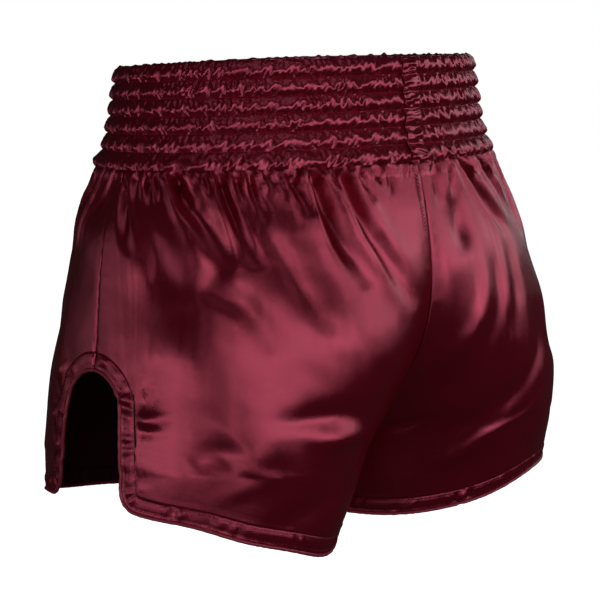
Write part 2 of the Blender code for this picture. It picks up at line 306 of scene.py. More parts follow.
def sharpen(made, rows, columns):
    """Makes a hard fold along these rows of the object's grid, where stitches hold the cloth down."""
    mesh = made.data
    ends = np.empty(len(mesh.edges) * 2, np.int32)
    mesh.edges.foreach_get("vertices", ends)
    ends = ends.reshape(-1, 2) // columns
    hard = (ends[:, 0] == ends[:, 1]) & np.isin(ends[:, 0], rows)
    layer = mesh.attributes.get("sharp_edge") or mesh.attributes.new("sharp_edge", "BOOLEAN", "EDGE")
    layer.data.foreach_set("value", hard)


def settle(made):
    """Applies the object's modifiers."""
    graph = bpy.context.evaluated_depsgraph_get()
    mesh = bpy.data.meshes.new_from_object(made.evaluated_get(graph))
    made.modifiers.clear()
    old = made.data
    made.data = mesh
    bpy.data.meshes.remove(old)


def crosses(piece):
    """Applies the piece's modifiers, if it has any, and bakes its transform into its mesh."""
    if piece.modifiers:
        settle(piece)
    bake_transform(piece)


def swept_tube(name, path, normals, radius, material, sides=10):
    """A tube along the path's points. normals say which way is out, and radius may vary along it."""
    path, normals = np.asarray(path), np.asarray(normals)
    radius = np.broadcast_to(np.asarray(radius, float), (len(path),))
    along = np.gradient(path, axis=0)
    along /= np.linalg.norm(along, axis=1)[:, None]
    out = normals - along * (normals * along).sum(axis=1)[:, None]
    out /= np.linalg.norm(out, axis=1)[:, None]
    across = np.cross(along, out)
    a = np.linspace(0, 2 * math.pi, sides, endpoint=False)
    rings = out[:, None] * np.cos(a)[None, :, None] + across[:, None] * np.sin(a)[None, :, None]
    points = path[:, None] + rings * radius[:, None, None]
    faces = []
    for i in range(len(path) - 1):
        for k in range(sides):
            m = (k + 1) % sides
            faces.append((i * sides + k, i * sides + m, (i + 1) * sides + m, (i + 1) * sides + k))
    faces.append(tuple(range(sides))[::-1])
    faces.append(tuple((len(path) - 1) * sides + k for k in range(sides)))
    return mesh_object(name, points, faces, material)


# One stitch: (share of its length, height in radii), and the sides of its thread
STITCH_SHAPE = ((0.0, -0.6), (0.25, 0.55), (0.5, 0.8), (0.75, 0.55), (1.0, -0.6))
STITCH_SIDES = 5
STITCH_TIP = 0.55


def stitch_row(path, normals, length, gap, radius, lift=0.0):
    """(points, faces) of stitches along a path, each a short thread that dips into the cloth at its ends."""
    path, normals = np.asarray(path), np.asarray(normals)
    along = np.concatenate([[0], np.cumsum(np.linalg.norm(np.diff(path, axis=0), axis=1))])
    starts = np.arange(gap, along[-1] - length, length + gap)
    last = len(STITCH_SHAPE) - 1
    points, faces = [], []
    for start in starts:
        base = len(points)
        centres = []
        for t, rise in STITCH_SHAPE:
            at = start + length * t
            p = np.array([np.interp(at, along, path[:, k]) for k in range(3)])
            n = np.array([np.interp(at, along, normals[:, k]) for k in range(3)])
            centres.append((p + n * (radius * rise + lift), n / np.linalg.norm(n)))
        direction = centres[-1][0] - centres[0][0]
        direction /= np.linalg.norm(direction)
        for k, (c, n) in enumerate(centres):
            side = np.cross(direction, n)
            size = radius * (STITCH_TIP if k in (0, last) else 1.0)
            for m in range(STITCH_SIDES):
                a = 2 * math.pi * m / STITCH_SIDES
                points.append(c + (side * math.cos(a) + n * math.sin(a)) * size)
        for k in range(last):
            for m in range(STITCH_SIDES):
                q = (m + 1) % STITCH_SIDES
                a0, b0 = base + k * STITCH_SIDES, base + (k + 1) * STITCH_SIDES
                faces.append((a0 + m, a0 + q, b0 + q, b0 + m))
        faces.append(tuple(base + m for m in range(STITCH_SIDES))[::-1])
        faces.append(tuple(base + last * STITCH_SIDES + m for m in range(STITCH_SIDES)))
    return points, faces


def merged_rows(name, rows, material):
    """One object from several rows of stitches."""
    points, faces = [], []
    for more_points, more_faces in rows:
        faces += [tuple(len(points) + k for k in face) for face in more_faces]
        points += more_points
    return mesh_object(name, points, faces, material)


def close_ring(made, rows, columns):
    """Joins the last column of the object's grid to its first."""
    editing = bmesh.new()
    editing.from_mesh(made.data)
    editing.verts.ensure_lookup_table()
    for row in range(rows - 1):
        upper, lower = row * columns, (row + 1) * columns
        corners = (upper + columns - 1, lower + columns - 1, lower, upper)
        editing.faces.new([editing.verts[k] for k in corners])
    editing.to_mesh(made.data)
    editing.free()


# ---------------------------------------------------------------- camera

AZIMUTH, ELEVATION, ROLL = math.radians(135.2), math.radians(7.65), math.radians(1.1)
DISTANCE = 1.43
TARGET = Vector((0.0, 0.0, -0.16))
AIM_RIGHT, AIM_UP = -0.0024, -0.0187
LENS, SENSOR = 115.5, 36


def make_camera():
    """Sets the camera up, and gives the direction to its right."""
    data = bpy.data.cameras.new("camera")
    camera = bpy.data.objects.new("camera", data)
    bpy.context.scene.collection.objects.link(camera)
    data.lens = LENS
    data.sensor_width = SENSOR
    data.clip_start, data.clip_end = 0.05, 50
    level = math.cos(ELEVATION)
    away = Vector((math.sin(AZIMUTH) * level, -math.cos(AZIMUTH) * level, math.sin(ELEVATION)))
    right = Vector((math.cos(AZIMUTH), math.sin(AZIMUTH), 0))
    up = away.cross(right)
    place = TARGET + AIM_RIGHT * right + AIM_UP * up + DISTANCE * away
    tilted_right = right * math.cos(ROLL) - up * math.sin(ROLL)
    tilted_up = right * math.sin(ROLL) + up * math.cos(ROLL)
    turn = Matrix((tilted_right, tilted_up, away)).transposed()
    camera.matrix_world = Matrix.Translation(place) @ turn.to_4x4()
    bpy.context.scene.camera = camera
    return right


RIGHT = make_camera()

# ---------------------------------------------------------------- materials

# Sockets of a Mix node that mixes colours
COLOUR_A, COLOUR_B, COLOUR_RESULT = 6, 7, 2


def node_of(tree, kind, **values):
    """A new shader node with these settings and socket values."""
    made = tree.nodes.new(kind)
    for key, value in values.items():
        if hasattr(made, key):
            setattr(made, key, value)
        else:
            made.inputs[key].default_value = value
    return made


def fabric(name, colour, deep, roughness, tint=(1.0, 1.0, 1.0), ior=1.5, thread=0.0004, grain=0.5, bump=0.3):
    """A woven cloth: two crossed sets of threads along the weave map, with an uneven grain.

    Its colour varies between deep and colour, and thread is the weave's pitch in metres.
    """
    made = bpy.data.materials.new(name)
    made.use_nodes = True
    tree = made.node_tree
    shader = tree.nodes["Principled BSDF"]
    shader.inputs["IOR"].default_value = ior
    shader.inputs["Specular Tint"].default_value = (*tint, 1.0)
    place = node_of(tree, "ShaderNodeUVMap", uv_map="weave")
    warp = node_of(tree, "ShaderNodeTexWave", bands_direction="X", Scale=0.314 / thread, Distortion=0.6)
    weft = node_of(tree, "ShaderNodeTexWave", bands_direction="Y", Scale=0.19 / thread, Distortion=0.6)
    fine = node_of(tree, "ShaderNodeTexNoise", Scale=850.0, Detail=3.0, Roughness=0.6)
    slow = node_of(tree, "ShaderNodeTexNoise", Scale=26.0, Detail=3.0)
    stretch = node_of(tree, "ShaderNodeMapping")
    stretch.inputs["Scale"].default_value = (1.0, 0.35, 1.0)
    tree.links.new(place.outputs["UV"], stretch.inputs["Vector"])
    for texture in (warp, weft, slow):
        tree.links.new(place.outputs["UV"], texture.inputs["Vector"])
    tree.links.new(stretch.outputs["Vector"], fine.inputs["Vector"])
    threads = node_of(tree, "ShaderNodeMath", operation="MULTIPLY")
    tree.links.new(warp.outputs["Fac"], threads.inputs[0])
    tree.links.new(weft.outputs["Fac"], threads.inputs[1])
    height = node_of(tree, "ShaderNodeMath", operation="MULTIPLY_ADD")
    tree.links.new(fine.outputs["Fac"], height.inputs[0])
    height.inputs[1].default_value = 1.6 * grain
    tree.links.new(threads.outputs[0], height.inputs[2])
    relief = node_of(tree, "ShaderNodeBump", Strength=bump, Distance=0.00012)
    tree.links.new(height.outputs[0], relief.inputs["Height"])
    tree.links.new(relief.outputs["Normal"], shader.inputs["Normal"])
    shade = node_of(tree, "ShaderNodeMath", operation="MULTIPLY_ADD")
    tree.links.new(fine.outputs["Fac"], shade.inputs[0])
    shade.inputs[1].default_value = grain
    tree.links.new(slow.outputs["Fac"], shade.inputs[2])
    span = {"From Min": 0.35 + 0.3 * grain, "From Max": 0.65 + 0.7 * grain}
    spread = node_of(tree, "ShaderNodeMapRange", **span)
    tree.links.new(shade.outputs[0], spread.inputs["Value"])
    mix = node_of(tree, "ShaderNodeMix", data_type="RGBA")
    mix.inputs[COLOUR_A].default_value = (*deep, 1.0)
    mix.inputs[COLOUR_B].default_value = (*colour, 1.0)
    tree.links.new(spread.outputs["Result"], mix.inputs["Factor"])
    tree.links.new(mix.outputs[COLOUR_RESULT], shader.inputs["Base Color"])
    span = {"To Min": roughness + 0.05, "To Max": roughness - 0.05}
    rough = node_of(tree, "ShaderNodeMapRange", **span)
    tree.links.new(fine.outputs["Fac"], rough.inputs["Value"])
    tree.links.new(rough.outputs["Result"], shader.inputs["Roughness"])
    return made


SATIN = fabric(
    "satin", (0.112, 0.0021, 0.0084), (0.088, 0.0015, 0.0062), 0.21, tint=(1.0, 0.165, 0.275), ior=2.8
)
# The inside of the cloth: the satin's duller, matte back in the same deep red, painted much darker as painted
# shade so that it is near black
SATIN_BACK_PAINTED_SHADE = fabric(
    "satin_inside_painted_shade", (0.034, 0.0010, 0.0032), (0.022, 0.0007, 0.0020), 0.7, ior=1.3, grain=0.6
)
BINDING = fabric(
    "binding", (0.24, 0.018, 0.036), (0.18, 0.012, 0.026), 0.4, tint=(1, 0.3, 0.4), ior=2.0, thread=0.0003
)
THREAD = fabric(
    "thread", (0.15, 0.008, 0.022), (0.11, 0.005, 0.016), 0.45, tint=(1, 0.4, 0.5), ior=1.6, thread=0.0002
)
TAPE = fabric("tape", (0.030, 0.002, 0.005), (0.018, 0.001, 0.003), 0.75, ior=1.3)
KNIT = fabric("elastic", (0.62, 0.60, 0.57), (0.50, 0.48, 0.45), 0.85, ior=1.35, thread=0.0012, bump=0.8)
LABEL = fabric("label", (0.70, 0.69, 0.66), (0.60, 0.59, 0.56), 0.7, ior=1.45, thread=0.0005)

# ---------------------------------------------------------------- the body of the shorts

# Steps of the fine grid to one of the coarse grid, the panel's last row, and the rows that are stitched
FINER = 3
PANEL_END = ROWS * FINER
STITCH_ROWS = (-3, -9)

HEM_THICKNESS = 0.0010
PIPING_RADIUS = 0.0013
# A stitch's length, the gap to the next, its thread's radius, and how far it is lifted
HEM_STITCH = (0.0024, 0.0009, 0.00022)
BAND_STITCH = (0.0019, 0.0010, 0.00018, 0.00002)
STRIP_STITCH = (0.0016, 0.0010, 0.00018, 0.0001)

# Creases in millimetres: (depth, half width, points as (distance from the middle seam, distance below the
# top)). A negative depth is a ridge. A crease that starts above TOP_CREASE is a sharp pleat from the
# waistband, and one that starts lower is a soft fold.
TOP_CREASE = 80
PLEAT_GAIN = 1.7
FOLD_GAIN = 1.45
# Rounds of smoothing for the soft folds, and for the surface's bend at the crotch's level
FOLD_SMOOTHING = 10
CROTCH_SMOOTHING = 160
# How far the inner half of the left leg's hem swings outwards and forwards
LEG_SWING = 0.00665
LEFT_BACK = (
    (5.6, 6.8, (60, 74), (50, 118), (27, 172)),
    (5.2, 6.2, (79, 74), (74, 122), (66, 154)),
    (3.2, 5.5, (121, 92), (115, 140), (109, 184)),
    (4.2, 9.0, (175, 76), (160, 108), (149, 134)),
    (4.2, 4.5, (143, 74), (139, 105), (137, 136)),
    (3.0, 3.6, (122, 73), (120, 106)),
    (3.4, 4.6, (226, 74), (229, 128)),
    (2.6, 3.2, (201, 73), (200, 97)),
    (2.2, 2.8, (192, 73), (191, 93)),
    (2.8, 3.6, (178, 73), (172, 104)),
    (2.4, 3.2, (164, 73), (157, 96)),
    (2.2, 2.8, (152, 73), (150, 88)),
    (2.4, 3.0, (132, 73), (130, 92)),
    (2.2, 3.0, (110, 73), (106, 86)),
    (3.2, 4.2, (96, 73), (90, 92), (86, 104)),
    (2.2, 2.8, (69, 73), (65, 86)),
    (2.8, 3.4, (49, 73), (42, 98)),
    (2.0, 2.6, (37, 73), (33, 86)),
    (2.6, 3.2, (24, 73), (26, 94)),
    (2.2, 2.8, (213, 73), (214, 92)),
    (3.0, 9.0, (164, 96), (157, 126), (172, 148), (154, 158), (146, 194)),
    (4.2, 8.0, (248, 266), (228, 257), (204, 244)),
    (-2.2, 5.5, (268, 292), (240, 278), (212, 262), (182, 248), (156, 234)),
    (3.6, 8.0, (176, 238), (130, 234), (84, 236)),
    (-4.0, 6.5, (156, 252), (124, 249), (94, 251)),
    (3.4, 12.0, (206, 100), (205, 128), (200, 156)),
    (2.6, 7.0, (216, 306), (176, 292), (140, 274)),
)
RIGHT_BACK = (
    (2.8, 4.2, (12, 74), (14, 104)),
    (2.8, 3.4, (27, 73), (30, 98)),
    (4.2, 6.5, (31, 92), (29, 140)),
    (4.4, 4.0, (43, 74), (62, 100), (86, 130)),
    (2.4, 3.2, (57, 73), (60, 92)),
    (3.2, 4.5, (72, 74), (92, 100), (106, 118)),
    (-3.0, 5.5, (46, 138), (47, 166), (42, 190), (24, 218)),
    (3.4, 5.5, (60, 142), (63, 176), (56, 206)),
    (3.2, 8.0, (80, 136), (85, 170), (80, 204)),
    (2.6, 3.4, (92, 73), (94, 92)),
    (3.0, 4.4, (112, 74), (124, 104), (130, 136)),
    (3.4, 5.0, (138, 74), (146, 118), (148, 150)),
    (2.4, 3.2, (156, 73), (158, 94)),
    (3.6, 5.0, (176, 74), (182, 128)),
    (2.6, 3.4, (196, 73), (199, 104)),
    (2.8, 4.0, (214, 74), (216, 118)),
    (-3.2, 5.5, (152, 236), (146, 262), (124, 286), (98, 300)),
    (3.8, 10.0, (122, 176), (126, 214), (112, 246), (84, 264)),
    (4.0, 10.0, (166, 150), (176, 190), (172, 230)),
    (3.0, 9.0, (60, 258), (36, 276), (14, 286)),
)
LEFT_FRONT = (
    (3.4, 4.4, (18, 74), (20, 124)),
    (2.6, 3.2, (34, 73), (36, 98)),
    (4.2, 5.0, (52, 74), (60, 118), (74, 156)),
    (2.6, 3.4, (68, 73), (70, 94)),
    (4.0, 5.4, (88, 74), (94, 126), (104, 166)),
    (2.8, 3.4, (104, 73), (106, 100)),
    (3.6, 5.0, (124, 74), (132, 138)),
    (2.4, 3.0, (140, 73), (141, 92)),
    (4.0, 5.2, (158, 74), (166, 120), (178, 152)),
    (2.8, 3.6, (174, 73), (178, 102)),
    (3.4, 4.4, (194, 74), (197, 134)),
    (2.6, 3.4, (212, 73), (213, 104)),
    (4.2, 11.0, (40, 176), (66, 204), (104, 222), (140, 224)),
    (-3.4, 9.0, (30, 206), (60, 236), (110, 256)),
    (3.8, 10.0, (196, 160), (180, 200), (172, 240)),
    (3.0, 9.0, (120, 290), (90, 276), (60, 270)),
)
RIGHT_FRONT = (
    (3.0, 4.2, (14, 74), (14, 112)),
    (4.0, 5.0, (30, 74), (40, 120), (52, 150)),
    (2.6, 3.2, (47, 73), (49, 96)),
    (3.8, 5.0, (66, 74), (72, 134)),
    (2.6, 3.4, (84, 73), (86, 98)),
    (4.2, 5.4, (104, 74), (114, 124), (128, 168)),
    (2.8, 3.6, (120, 73), (123, 104)),
    (2.4, 3.0, (134, 73), (135, 90)),
    (3.8, 4.8, (150, 74), (154, 142)),
    (2.8, 3.4, (168, 73), (170, 100)),
    (3.8, 5.0, (186, 74), (194, 122), (200, 150)),
    (2.6, 3.4, (206, 73), (208, 98)),
    (4.0, 11.0, (44, 186), (80, 212), (126, 216)),
    (-3.2, 9.0, (36, 222), (84, 246), (138, 248)),
    (3.8, 10.0, (210, 166), (190, 206), (186, 246)),
    (3.0, 8.0, (150, 300), (118, 282), (86, 276)),
)
CREASES = {(1, True): LEFT_BACK, (-1, True): RIGHT_BACK, (1, False): LEFT_FRONT, (-1, False): RIGHT_FRONT}

# Billows in millimetres: (height, half width, half height, distance from the middle seam, distance below
# the top)
BILLOWS = {
    (1, True): (
        (3.9, 56, 34, 76, 187), (3.0, 42, 32, 205, 184), (-2.0, 40, 26, 150, 214), (4.2, 80, 52, 215, 345)
    ),
    (-1, True): ((3.4, 60, 36, 70, 170), (1.6, 50, 40, 165, 176), (2.0, 60, 45, 175, 245)),
    (1, False): ((3.0, 60, 40, 110, 180), (-1.8, 60, 42, 215, 110), (1.6, 50, 50, 235, 230)),
    (-1, False): ((3.2, 55, 40, 120, 172),),
}


def crease(g, below, depth, width, line):
    """One crease's height over the cloth, from its depth, its half width and its line.

    A pleat is a valley with a full ridge on one side and a low one on the other, and it widens and fades as
    it goes down. A soft fold is a plain valley that fades at both ends.
    """
    line = np.array(line, float) / 1000
    steps = np.linalg.norm(np.diff(line, axis=0), axis=1)
    total = steps.sum()
    nearest = np.full(g.shape, 9.0)
    signed = np.zeros(g.shape)
    share = np.zeros(g.shape)
    done = 0.0
    for a, b, step in zip(line[:-1], line[1:], steps):
        along = ((g - a[0]) * (b[0] - a[0]) + (below - a[1]) * (b[1] - a[1])) / step**2
        held = np.clip(along, 0, 1)
        dx, dz = g - a[0] - held * (b[0] - a[0]), below - a[1] - held * (b[1] - a[1])
        away = np.hypot(dx, dz)
        closer = away < nearest
        nearest = np.where(closer, away, nearest)
        side = np.sign((g - a[0]) * (b[1] - a[1]) - (below - a[1]) * (b[0] - a[0]))
        signed = np.where(closer, away * side, signed)
        share = np.where(closer, (done + held * step) / total, share)
        done += step
    spread = width / 1000 * (0.62 + 0.75 * share)
    d = signed / spread
    if line[0, 1] < TOP_CREASE / 1000:
        profile = -np.exp(-(d**2)) + 0.5 * hill(d, 1.55, 0.9) + 0.3 * hill(d, -1.6, 1.0)
        return depth / 1000 * profile * np.clip((1 - share) / 0.75, 0, 1) ** 0.9
    return -0.75 * depth / 1000 * np.exp(-(d**2)) * np.sin(math.pi * np.clip(share, 0, 1)) ** 0.9


def rumple(g, below, seed, count, waves, size):
    """Soft unevenness: plane waves of random direction, length and phase."""
    rng = np.random.default_rng(seed)
    out = np.zeros(g.shape)
    for _ in range(count):
        wave, turn, phase = rng.uniform(*waves), rng.uniform(0, math.pi), rng.uniform(0, 2 * math.pi)
        out += np.sin(2 * math.pi * (g * math.cos(turn) + below * math.sin(turn)) / wave + phase)
    return size * out / math.sqrt(count)


def eased(grid):
    """The grid with its bend at the crotch's level made soft, away from the middle seam and the edges."""
    soft = grid.copy()
    for _ in range(CROTCH_SMOOTHING):
        soft[1:-1] += 0.25 * (soft[:-2] - 2 * soft[1:-1] + soft[2:])
    row = np.arange(len(grid))[:, None]
    column = np.arange(grid.shape[1])[None, :]
    near = hill(row, CROTCH_ROW * FINER, 22) * np.clip((row.max() - row - 12) / 16, 0, 1)
    share = near * np.clip((grid.shape[1] - 1 - column) / 24, 0, 1) * np.clip(column / 8, 0, 1)
    return grid + (soft - grid) * share[..., None]


def fold_heights(from_middle, below, side, back):
    """How far the creases and billows stand out from the CAD's surface."""
    out = -0.0008 + 0.0012 * np.clip((below - BAND_HEIGHT) / 0.12, 0, 1)
    soft = 0 * below
    for depth, width, *line in CREASES[side, back]:
        made = crease(from_middle, below, depth, width, line)
        if line[0][1] < TOP_CREASE:
            out = out + PLEAT_GAIN * made
        else:
            soft = soft + FOLD_GAIN * made
    for _ in range(FOLD_SMOOTHING):
        around = soft[:-2, 1:-1] + soft[2:, 1:-1] + soft[1:-1, :-2] + soft[1:-1, 2:]
        soft[1:-1, 1:-1] += 0.2 * (around - 4 * soft[1:-1, 1:-1])
    out = out + soft
    for height, wide, tall, middle, low in BILLOWS[side, back]:
        offset = ((from_middle * 1000 - middle) / wide) ** 2 + ((below * 1000 - low) / tall) ** 2
        out = out + height / 1000 * np.exp(-offset)
    return out


def hem_rise(from_middle, from_side, below, side, back):
    """How much higher or lower the cloth hangs near the hem than on the CAD's surface."""
    low = np.clip((below - 0.24) / 0.09, 0, 1)
    if back and side > 0:
        rise = low * (0.006 * hill(from_middle, 0.265, 0.035) - 0.009 * hill(from_middle, 0.145, 0.040))
    elif back:
        rise = low * (0.008 * hill(from_middle, 0.19, 0.050) - 0.003 * hill(from_middle, 0.06, 0.05))
    else:
        rise = -0.009 * np.clip((below - 0.23) / 0.06, 0, 1) * hill(from_side, 0.14, 0.07)
    rise = rise * np.clip(from_middle / 0.02, 0, 1)
    if side > 0:
        rise = rise - 0.002 * low * hill(from_middle, 0, 0.06)
    return rise


def folded(tau, z, side, back):
    """Points of the cloth with its creases, billows and unevenness, from its place on the CAD's surface."""
    flat = eased(surface(tau, z, side, back))
    sign = 1 if (side > 0) == back else -1
    normals = grid_normals(flat, sign)
    levels = np.linspace(-0.06, -0.35, 60)
    whole = np.interp(-z, -levels, girth(levels, back))
    from_middle, from_side = (1 - tau) * whole, tau * whole
    below = -z
    down = below - BAND_HEIGHT
    out = fold_heights(from_middle, below, side, back)
    loose = np.clip(down / 0.03, 0, 1) * np.clip(1.4 - down / 0.2, 0.2, 1)
    out = out + rumple(from_middle, below, 3 + side + 5 * back, 14, (0.045, 0.09), 0.0008) * loose
    out = out + rumple(from_middle, below, 30 + side + 5 * back, 18, (0.016, 0.03), 0.00008) * loose
    calm = np.clip(np.minimum(from_middle, from_side) / 0.012, 0.12, 1)
    low = np.clip((below + CROTCH + 0.03) / 0.03, 0, 1)
    calm = np.where(low > 0, np.minimum(calm, 1 - low * np.exp(-from_middle / 0.01)), calm)
    out = out * calm * np.clip(down / 0.006, 0, 1) ** 0.6
    points = flat + normals * out[..., None]
    points[..., 2] += hem_rise(from_middle, from_side, below, side, back)
    if side > 0:
        inner_half = np.exp(-((from_middle / 0.155) ** 4))
        swing = LEG_SWING * np.clip((below - 0.262) / 0.070, 0, 1) ** 1.3 * inner_half
        points[..., 0] += swing
        points[..., 1] -= swing
    return points


EDGE_POINTS = 400
EDGE_SLACK = 0.001
POINTS_AT_ONCE = 4000


def near_edge(tau, z, back):
    """(distance to the finished edge, place along it from the vent's top) of each point, on flat cloth."""
    points, normals = finished_edge(back, EDGE_POINTS)
    along = np.concatenate([[0], np.cumsum(np.linalg.norm(np.diff(points, axis=0), axis=1))])
    places = np.stack([tau * girth(z.ravel(), back).reshape(z.shape), z], axis=-1).reshape(-1, 2)
    nearest = np.empty(len(places), int)
    for start in range(0, len(places), POINTS_AT_ONCE):
        some = slice(start, start + POINTS_AT_ONCE)
        gaps = np.linalg.norm(places[some, None] - points[None], axis=-1)
        nearest[some] = gaps.argmin(axis=1)
    offset = places - points[nearest]
    normal = normals[nearest]
    slide = offset[:, 0] * normal[:, 1] - offset[:, 1] * normal[:, 0]
    away = np.hypot((offset * normal).sum(axis=1), np.maximum(np.abs(slide) - EDGE_SLACK, 0))
    place = along[nearest] + np.clip(slide, -EDGE_SLACK, EDGE_SLACK)
    return away.reshape(z.shape), place.reshape(z.shape)


def edge_relief(edge, place, seed):
    """Heights near the finished edge: folds that run out from it, the band's puckers, and its stitches."""
    vent = 1 / (1 + np.exp((place - 0.115) / 0.010))
    arch = hill(place, 0.036, 0.022)
    patchy = 0.55 + 0.6 * wavelets(place, 0, seed + 25, 0.45, 22, (0.02, 0.05), 0, (0.02, 0.04))
    patchy = np.clip(patchy, 0.1, 1.3)
    beyond = np.maximum(edge - HEM_BAND, 0) / (0.006 + 0.004 * vent + 0.012 * arch)
    reach = np.clip(np.exp(-(beyond**1.5)) - 0.08, 0, 1) * np.clip((edge - HEM_BAND) / 0.007, 0, 1)
    pucker = wavelets(place, edge, seed + 95, 0.45, 66, (0.015, 0.028), 0.35, (0.012, 0.03))
    out = (0.00014 + 0.00020 * vent * patchy + 0.00120 * arch) * pucker * reach
    across = np.clip(edge / HEM_BAND, 0, 1)
    small = wavelets(place, edge, seed + 40, 0.45, 110, (0.0075, 0.015), 0.4, (0.006, 0.02))
    out += (0.00044 + 0.00034 * vent) * patchy * small * np.sin(math.pi * across) ** 0.8
    out += 0.0004 * np.clip((1 - across) * 5, 0, 1)
    for row in STITCH_ROWS:
        out -= 0.00040 * hill(edge, edge[row].mean(), 0.0009)
    return out


def detailed(side, back):
    """(grid, normals, sign) of a quarter at full fineness, with its gathers, puckers and seam grooves."""
    tau, z = panel_grid(side, back)
    tau, z = (refined(refined(k[..., None], FINER, 0), FINER, 1)[..., 0] for k in (tau, z))
    tau = np.clip(tau, 0, 1)
    grid = folded(tau, z, side, back)
    sign = 1 if (side > 0) == back else -1
    normals = grid_normals(grid, sign)
    seed = 10 + 2 * (side > 0) + back
    down = lengths(grid, 0)
    along = lengths(grid, 1)
    top = along[:1] + 0 * along
    gather = wavelets(top, down, seed, top.max(), 90, (0.007, 0.018), 0.5, (0.010, 0.04))
    out = 0.00042 * gather * np.exp(-down / 0.011) * np.clip(down / 0.0015, 0.15, 1)
    edge, place = near_edge(tau, z, back)
    out += edge_relief(edge, place, seed)
    to_middle = along[:, -1:] - along
    tuck = wavelets(down, 0 * down, seed + 60, down.max(), 60, (0.006, 0.014), 0.0, (0.01, 0.03))
    for away, deep in ((along, 0.45), (to_middle, 0.6)):
        out -= deep * (0.0007 + 0.00012 * tuck) * hill(away, 0, 0.0016)
        out += deep * 0.00035 * hill(away, 0.004, 0.003) * (1 + 0.35 * tuck)
    grid = grid + normals * out[..., None]
    for row, deep in ((0, 0.0018), (1, 0.0006)):
        grid[row] -= normals[row] * deep
    grid[0, :, 2] += 0.003
    return grid, normals, sign


def side_word(side, back):
    """The quarter's name."""
    return ("left" if side > 0 else "right") + ("_back" if back else "_front")


QUARTER = {(side, back): detailed(side, back) for side, back in QUARTERS}

for side, back in QUARTERS:
    grid, normals, sign = QUARTER[side, back]
    word = side_word(side, back)
    uv = np.stack([lengths(grid, 1), -lengths(grid, 0)], axis=-1)
    body, band = slice(0, PANEL_END + 1), slice(PANEL_END, None)
    # The inner faces of the panels and hem bands take the inside material, with its painted shade
    panel = cloth_object(f"panel_{word}", grid[body], (SATIN, SATIN_BACK_PAINTED_SHADE), sign < 0, uv=uv[body])
    hem = cloth_object(f"hem_{word}", grid[band], (SATIN, SATIN_BACK_PAINTED_SHADE), sign < 0, HEM_THICKNESS, uv=uv[band])
    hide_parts(f"{word}_panel")
    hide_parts(f"{word}_hem_band")
    rim = grid[-1] - grid[-2]
    rim /= np.linalg.norm(rim, axis=1)[:, None]
    centre = grid[-1] + rim * 0.0008 - normals[-1] * 0.0005
    wobble = wavelets(lengths(grid, 1)[-1], 0, 90 + sign, 0.4, 120, (0.004, 0.008), 0, (0.01, 0.02))
    piping = swept_tube(
        f"piping_{word}", centre, normals[-1], PIPING_RADIUS * (1 + 0.03 * wobble), BINDING
    )
    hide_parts(f"{word}_piping")
    rows = [stitch_row(grid[k], normals[k], *HEM_STITCH) for k in STITCH_ROWS]
    stitches = merged_rows(f"stitches_{word}", rows, THREAD)
    for piece in (panel, hem, piping, stitches):
        crosses(piece)

# ---------------------------------------------------------------- the waistband

BAND_ROWS = 6
PITCH = BAND_HEIGHT / BAND_ROWS
BAND_STEPS = 12
HALF_STEPS = 640
STRIP_HALF = 0.0083
LEFT_FRONT_DIP = 0.004
# How far a row puffs out, and the inner face's share of that
PUFF = 0.0030
INNER_PUFF = 0.55
# Metres round the waist to a radian, about, which sets the size of the ruching
AROUND = 0.14


def ring(angle, z, inwards):
    """Points of the waistband, that far inside its outer face. Angle 0 is the left, 90 degrees the back."""
    x = (through(HALF_WIDTH, z) - inwards) * np.cos(angle)
    y = (through(BACK_DEPTH, z) - inwards) * np.sin(angle)
    left_front = np.clip(np.cos(angle + math.pi / 4), 0, 1) ** 2
    dip = LEFT_FRONT_DIP * left_front * np.clip(1 + z / BAND_HEIGHT, 0, 1)
    return np.stack([x, y, z - dip], axis=-1)


def ring_normals(angle, z):
    """Directions that point out of the ring at those angles and levels."""
    x, y = np.cos(angle) / through(HALF_WIDTH, z), np.sin(angle) / through(BACK_DEPTH, z)
    normals = np.stack([x, y, 0 * x], axis=-1)
    return normals / np.linalg.norm(normals, axis=-1, keepdims=True)


def band_inset(z):
    """How far the sewn lines lie inside the CAD's outer face: less towards the seam with the panels."""
    return 0.0048 - 0.0048 * np.clip((-z - 0.050) / 0.022, 0, 1) ** 1.5


def line_wander(s, line):
    """How far a sewn line strays up or down. The band's top and bottom edges don't."""
    if line in (0, BAND_ROWS):
        return 0 * s
    return 0.00012 * wavelets(s, 0, 150 + line, 0.9, 60, (0.012, 0.04), 0, (0.02, 0.06))


def ruched_row(s, row, seed, near_join):
    """(levels, heights) of one row of the band: a puff between two sewn lines, broken up by short folds."""
    upper = -row * PITCH + line_wander(s, row)
    lower = -(row + 1) * PITCH + line_wander(s, row + 1)
    t = np.linspace(0, 1, BAND_STEPS + 1)[:, None]
    z = upper * (1 - t) + lower * t
    height = t * PITCH
    patches = wavelets(s, 0, seed + 7 * row + 5, 0.9, 40, (0.03, 0.09), 0, (0.03, 0.08))
    strength = 0.65 + 0.45 * np.clip(patches, -1, 1)
    wander = wavelets(s, height, seed + 7 * row, 0.9, 150, (0.010, 0.024), 0.4, (0.012, 0.04))
    zigzag = wavelets(s, height, seed + 7 * row + 3, 0.9, 240, (0.0038, 0.0085), 0.7, (0.006, 0.020))
    crest = np.exp(0.20 * np.clip(wander, -1.6, 1.6) + 0.24 * strength * np.clip(zigzag, -1.6, 1.6))
    calm = 1 - 0.75 * near_join
    ruching = (0.00022 * wander + 0.00020 * strength * zigzag) * calm
    out = np.sin(math.pi * t**crest) * (PUFF + ruching) * (1 - 0.3 * near_join)
    fine = wavelets(s, -z, seed + 90, 0.9, 420, (0.0022, 0.0048), 1.6, (0.004, 0.012))
    out = out + 0.00011 * fine * (0.35 + 0.65 * np.abs(2 * t - 1)) * calm
    if row == 0:
        out = out * np.clip(t * 4 + 0.45, 0, 1)
    return z, out


